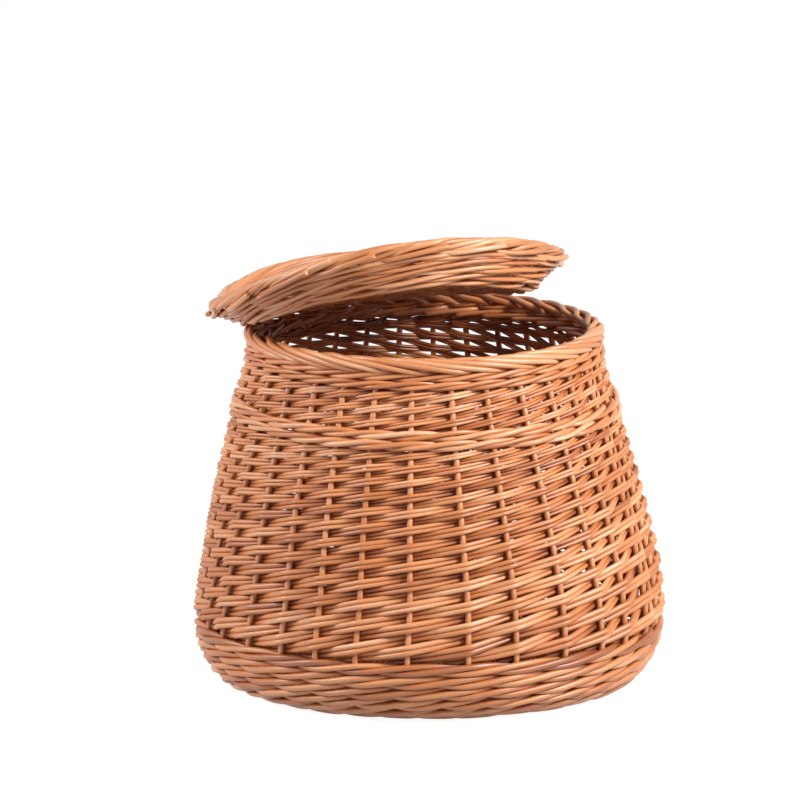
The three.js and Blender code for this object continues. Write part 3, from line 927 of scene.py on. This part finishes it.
def pairing(hub, outer, radius, stick_radius, height):
    inner = cross_size(stick_radius) + 2 * radius
    pitch = PAIRING_PITCH * radius
    turns = (outer - inner) / pitch
    turn = np.arange(0, 2 * math.pi * turns, SPOKE_STEP / PAIRING_POINTS)
    spiral = inner + pitch * turn / (2 * math.pi)
    layer = np.clip(LAYER_STEEPNESS * np.cos(2 * turn), -1, 1)
    lift = LAYER_LIFT * stick_radius * layer * np.clip((hub - spiral) / (hub - inner), 0, 1)
    rods = []
    for side in (1, -1):
        wave = (turn - SPOKE_STEP / 2) / SPOKE_STEP * math.pi
        distance = spiral + side * PAIRING_TWIST * radius * np.sin(wave)
        over = lift + side * (stick_radius + radius * PAIRING_PRESS) * np.cos(wave)
        line = round_the_axis(turn, distance, height + over)
        walk = distance_along(line)
        starts = np.searchsorted(walk, np.arange(0, walk[-1] - SHORTEST_ROD, PAIRING_ROD_LENGTH))
        for start, stop in zip(starts, [*(starts[1:] + OVERLAP_POINTS), len(line)]):
            part = line[start:stop]
            thickness = np.full(len(part), radius * rng.uniform(*PAIRING_SIZES))
            rods.append(Rod(part, thickness, np.broadcast_to(UP, part.shape), rng.uniform(*WEAVER_TONES)))
    return rods


print("one pairing rod is about", PAIRING_ROD_LENGTH, "m long")

# %% [markdown]
# The base carries the laundry, so its sticks and rods are thicker than the lid's. It could be left as the
# plain solid, since it stands on the floor, but it shows through the mouth and when the hamper is tipped.
# The edge and the height come from the solid, and the pairing presses a little into the sticks.

# %% Base
BASE_STICK_RADIUS = 0.004
BASE_HUB_RADIUS = 0.034
BASE_ROD_RADIUS = 0.0022
BASE_STICK_SHORT = 0.002
BASE_PRESS = 0.0008
base_low, base_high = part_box("base_weave")
base_edge = base_high.x
base_middle = (base_low.z + base_high.z) / 2
base_stick_nodes = [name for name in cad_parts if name.startswith("base_stick_")]
base_sticks = crossed_sticks(base_edge - BASE_STICK_SHORT, BASE_HUB_RADIUS, BASE_STICK_RADIUS, base_middle)
pressed_stick = BASE_STICK_RADIUS - BASE_PRESS
base_rods = pairing(BASE_HUB_RADIUS, base_edge, BASE_ROD_RADIUS, pressed_stick, base_middle)
basket_piece("base_sticks", base_sticks, STOUT_SIDES, stake_willow, base_stick_nodes)
basket_piece("base_rods", base_rods, PAIRING_SIDES, weaver_willow, ["base_weave"])

# %% [markdown]
# The lid is a shallow dish, made like a small basket: a paired disc, a flared wall of waling and a rolled
# border. It has warped: its left and right ends hang lower than its middle, it is a little twisted, its
# disc sags, and its left front corner has dropped. It lies moved to the left, with its right end and its
# front raised. Each rod could be placed in that tilt at once, but a level lid is far easier to think
# about. So all its rods are laid out level first, and then bowed, turned and moved as one.

# %% How the lid lies
LID_BOW = 0.0125
LID_DROOP = 0.009
LID_TWIST = 0.007
LID_SAG = 0.008
LID_LOW = 0.10
LID_LOW_SIDE = math.radians(222)
WARP_POWER = 4
LID_BASE_RADIUS = 0.146
LID_BORDER_RADIUS = 0.172
LID_PLACE = np.array([-0.040, -0.022, 0.4002])
LID_ROLL = math.radians(5.4)
LID_PITCH = math.radians(12.0)
lid_turn = np.array(Matrix.Rotation(-LID_PITCH, 3, "X") @ Matrix.Rotation(-LID_ROLL, 3, "Y"))


def lid_warp(line):
    across, along = line[:, :2].T / LID_BASE_RADIUS
    ends = LID_BOW * across**2 + LID_DROOP * np.clip(-across, 0, None) ** WARP_POWER
    side = line[:, :2] @ (math.cos(LID_LOW_SIDE), math.sin(LID_LOW_SIDE)) / LID_BORDER_RADIUS
    low = LID_LOW * line[:, 2] * np.clip(side, 0, 1) ** WARP_POWER
    return ends + low + LID_TWIST * across * along + LID_SAG * np.clip(1 - across**2 - along**2, 0, 1)


def lay_lid(rods):
    laid = []
    for rod in rods:
        line = rod.line - np.outer(lid_warp(rod.line), UP)
        laid.append(rod._replace(line=line @ lid_turn.T + LID_PLACE, facing=rod.facing @ lid_turn.T))
    return laid


print("the lid lies at", LID_PLACE, "rolled", math.degrees(LID_ROLL), "pitched", math.degrees(LID_PITCH))

# %% [markdown]
# The lid's disc is made like the base, in thinner sticks and rods. It could be a smaller copy of the
# base, but then its rods would be too thin and every tone would come back. So the same helpers make it
# anew in its own sizes. The sticks stop a little short of the disc's edge, where the stakes of the lid's
# wall come out.

# %% Lid disc
LID_STICK_RADIUS = 0.0032
LID_STICK_SHORT = 0.003
LID_HUB_RADIUS = 0.030
LID_ROD_RADIUS = 0.0018
LID_WEAVE_SHORT = 0.002
LID_PRESSED_STICK = 0.0029
LID_MIDDLE = 0.0065
LID_DISC_EDGE = 0.139
lid_weave_edge = LID_DISC_EDGE - LID_WEAVE_SHORT
lid_stick_nodes = [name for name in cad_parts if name.startswith("lid_stick_")]
lid_sticks = crossed_sticks(LID_DISC_EDGE - LID_STICK_SHORT, LID_HUB_RADIUS, LID_STICK_RADIUS, LID_MIDDLE)
lid_disc_rods = pairing(LID_HUB_RADIUS, lid_weave_edge, LID_ROD_RADIUS, LID_PRESSED_STICK, LID_MIDDLE)


def lid_piece(name, rods, sides, finish, nodes):
    hang_on(sweep_rods(name, lay_lid(rods), sides, finish), "lid", nodes)


lid_piece("lid_sticks", lid_sticks, STOUT_SIDES, stake_willow, lid_stick_nodes)
lid_piece("lid_disc_rods", lid_disc_rods, PAIRING_SIDES, weaver_willow, ["lid_weave"])

# %% [markdown]
# The lid's wall is short: sixteen stakes come out of the disc, turn up and out, and carry five rounds of
# waling. It could use the hamper's own wall line at a smaller scale, but it flares where the hamper
# closes in. So it has a short line of its own, through five places of radius and height, and the same
# kind of places on it.

# %% Line of the lid's wall
LID_WALL = np.array([
    (0.105, 0.0068),
    (0.128, 0.0066),
    (0.1405, 0.0064),
    (0.1525, 0.0165),
    (0.1670, 0.0310),
])
LID_WALL_POINTS = 12
LID_FOOT = 2 * LID_WALL_POINTS
lid_line = smooth_through(LID_WALL, LID_WALL_POINTS)
lid_climb = distance_along(lid_line)
lid_climb -= lid_climb[LID_FOOT]
lid_slope = np.gradient(lid_line, lid_climb, axis=0)


def on_lid_wall(angle, climb, out):
    slope_radius = np.interp(climb, lid_climb, lid_slope[:, 0])
    slope_height = np.interp(climb, lid_climb, lid_slope[:, 1])
    radius = np.interp(climb, lid_climb, lid_line[:, 0]) + slope_height * out
    height = np.interp(climb, lid_climb, lid_line[:, 1]) - slope_radius * out
    return round_the_axis(angle, radius, height)


def lid_outward(angle, climb):
    return on_lid_wall(angle, climb, 1.0) - on_lid_wall(angle, climb, 0.0)


print("the lid's wall is", round(lid_climb[-1], 3), "m from its foot to the border")

# %% [markdown]
# The lid's weave is looser than the hamper's: its rounds wander up and down and in and out. The hamper's
# waled round could be used as it is, but the lid has half as many stakes, so its strokes are longer, need
# more points, and waver more.

# %% Rods of the lid's wall
LID_STAKE_COUNT = 16
LID_STAKE_STEP = 2 * math.pi / LID_STAKE_COUNT
FIRST_LID_STAKE = math.radians(-92.3)
LID_STAKE_RADIUS = 0.0024
LID_STAKE_POINTS = 24
LID_WALE_RADII = [0.0027, 0.0026, 0.0026, 0.0025, 0.0024]
LID_WALE_LOW = -0.0085
LID_WALE_ENDS_AT = 8
LID_WALE_LIFT = 2.2
LID_ROD_END = 0.3
LID_POINT_STEP = 0.5 / POINTS_PER_STAKE
LID_CLIMB_WAVER = 0.0021
LID_OUT_WAVER = 0.0016


def lid_angle(k):
    return FIRST_LID_STAKE + k * LID_STAKE_STEP


def lid_stake(k):
    climb = np.linspace(lid_climb[0], lid_climb[-1], LID_STAKE_POINTS)
    angle = np.full(len(climb), lid_angle(k))
    thickness = np.full(len(climb), LID_STAKE_RADIUS)
    line = on_lid_wall(angle, climb, 0.0)
    return Rod(line, thickness, lid_outward(angle, climb), rng.uniform(*STAKE_TONES))


def lid_round(level, radius, start):
    rods = []
    for first in range(WALE_RODS):
        last = last_stake(first, LID_STAKE_COUNT)
        steps = np.arange(first - LID_ROD_END, last + LID_ROD_END, LID_POINT_STEP)
        angle = lid_angle(start + steps)
        thickness = radius * rng.uniform(*WALE_SIZES) * (1 + waver(steps, WALE_UNEVEN))
        lift = LID_WALE_LIFT * radius * wale_lift(steps - first)
        climb = level + lift + waver(2 * steps, LID_CLIMB_WAVER)
        out = wale_out(steps - first) * (LID_STAKE_RADIUS + thickness) + waver(2 * steps, LID_OUT_WAVER)
        tone = rng.uniform(*WEAVER_TONES)
        rods.append(Rod(on_lid_wall(angle, climb, out), thickness, lid_outward(angle, climb), tone, out))
    return rods


lid_wall_rods = [lid_stake(k) for k in range(LID_STAKE_COUNT)]
level = LID_WALE_LOW
for i, radius in enumerate(LID_WALE_RADII):
    lid_wall_rods += lid_round(level + ROUND_HEIGHT / 2 * radius, radius, LID_WALE_ENDS_AT + i)
    level += ROUND_HEIGHT * radius
print("the lid's waling reaches climb", round(level, 4))

# %% [markdown]
# On the lid the rolled border is worked the other way round: the sweeping strands are on the inside of
# the dish, and the cut ends come out under the roll and stand off on the outside, where they show as a
# row of thick blunt pieces. Beside each thick rod two thinner ones fill the roll, with their ends tucked
# away. The hamper's border rod could be turned over, but its path is too flat for the lid's round edge,
# so the lid has a list of places of its own. The wall and the border are swept last, when all their rods
# are laid out.

# %% Lid border
LID_BORDER_HEIGHT = 0.036
LID_BORDER_ROD = 0.0031
LID_TUCKED_ROD = 0.0026
COIL = (1.0, 0.85, 0.85)
LID_BORDER_PLACES = np.array([
    (0.00, -0.0120, -0.0100),
    (0.15, -0.0030, -0.0050),
    (0.45, 0.0034, 0.0005),
    (0.80, 0.0058, 0.0050),
    (1.15, 0.0010, 0.0070),
    (1.60, -0.0055, 0.0058),
    (2.20, -0.0074, 0.0008),
    (2.80, -0.0060, -0.0045),
    (3.20, 0.0010, -0.0078),
    (3.60, 0.0082, -0.0046),
    (3.95, 0.0108, -0.0004),
])
TUCKED_PLACES = LID_BORDER_PLACES[:-3]
LID_STRANDS = [
    (0, LID_BORDER_PLACES, LID_BORDER_ROD),
    (0.33, TUCKED_PLACES, LID_TUCKED_ROD),
    (0.67, TUCKED_PLACES, LID_TUCKED_ROD),
]
lid_border_rods = []
for k in range(LID_STAKE_COUNT):
    for place, places, radius in LID_STRANDS:
        rod = border_rod(k + place, places * COIL, LID_BORDER_RADIUS, LID_BORDER_HEIGHT, lid_angle, radius)
        lid_border_rods.append(rod)
lid_piece("lid_wall_rods", lid_wall_rods, STOUT_SIDES, weaver_willow, ["lid_wale"])
lid_piece("lid_border_rods", lid_border_rods, STOUT_SIDES, stake_willow, ["lid_border"])

# %% [markdown]
# The photograph is cut out on pure white. A white floor lit like the hamper would come out grey, and more
# light would bleach the willow. So the floor stays plain, and what the camera sees of it is mostly its
# own white, with enough of the lit floor left in it to hold the hamper's soft shadow.

# %% Floor
FLOOR_RADIUS = 8.0
FLOOR_SIDES = 96
FLOOR_OWN_WHITE = 0.92
FLOOR_GREY = 0.38


def camera_sees(tree):
    path = tree.nodes.new("ShaderNodeLightPath")
    most = tree.nodes.new("ShaderNodeMath")
    most.operation = "MAXIMUM"
    tree.links.new(path.outputs["Is Camera Ray"], most.inputs[0])
    both = tree.nodes.new("ShaderNodeMath")
    both.operation = "MAXIMUM"
    tree.links.new(path.outputs["Is Glossy Ray"], both.inputs[0])
    tree.links.new(path.outputs["Is Transmission Ray"], both.inputs[1])
    tree.links.new(both.outputs["Value"], most.inputs[1])
    return most.outputs["Value"]


def white_floor():
    material = bpy.data.materials.new("white_floor")
    material.use_nodes = True
    tree = material.node_tree
    tree.nodes.clear()
    lit = tree.nodes.new("ShaderNodeBsdfDiffuse")
    lit.inputs["Color"].default_value = (FLOOR_GREY, FLOOR_GREY, FLOOR_GREY, 1)
    white = tree.nodes.new("ShaderNodeEmission")
    tree.links.new(add_share(tree, camera_sees(tree), FLOOR_OWN_WHITE, 0.0), white.inputs["Strength"])
    both = tree.nodes.new("ShaderNodeAddShader")
    tree.links.new(lit.outputs["BSDF"], both.inputs[0])
    tree.links.new(white.outputs["Emission"], both.inputs[1])
    out = tree.nodes.new("ShaderNodeOutputMaterial")
    tree.links.new(both.outputs["Shader"], out.inputs["Surface"])
    return material


bpy.ops.mesh.primitive_circle_add(vertices=FLOOR_SIDES, radius=FLOOR_RADIUS, fill_type="NGON")
floor = bpy.context.object
floor.name = "floor"
floor.data.materials.append(white_floor())
print("floor across in m:", 2 * FLOOR_RADIUS)

# %% [markdown]
# The light is that of a small studio: a soft box at the front right, a weaker and warmer one from the
# left, and a little light from all round. A single hard lamp would draw black lines between the rods. The
# camera sees the surroundings as white, while the hamper gets only their faint light.

# %% Light
SKY_LIGHT = 0.09
LAMPS_AIM_AT = Vector((0, 0, 0.2))
world = bpy.data.worlds.new("studio")
bpy.context.scene.world = world
world.use_nodes = True
sky = world.node_tree.nodes["Background"]
sky.inputs["Color"].default_value = (1, 1, 1, 1)
sky_strength = add_share(world.node_tree, camera_sees(world.node_tree), 1 - SKY_LIGHT, SKY_LIGHT)
world.node_tree.links.new(sky_strength, sky.inputs["Strength"])


def soft_box(name, place, width, watts, colour):
    light = bpy.data.lights.new(name, "AREA")
    light.shape = "DISK"
    light.size = width
    light.energy = watts
    light.color = colour
    lamp = bpy.data.objects.new(name, light)
    bpy.context.scene.collection.objects.link(lamp)
    lamp.location = place
    lamp.rotation_euler = (LAMPS_AIM_AT - lamp.location).to_track_quat("-Z", "Y").to_euler()
    print(name, "watts:", watts)


soft_box("key_light", Vector((2.1, -1.45, 1.9)), width=1.0, watts=116, colour=(1.0, 0.975, 0.955))
soft_box("fill_light", Vector((-2.55, -0.55, 1.6)), width=1.3, watts=63, colour=(1.0, 0.92, 0.88))
bpy.context.scene.view_settings.view_transform = "Standard"
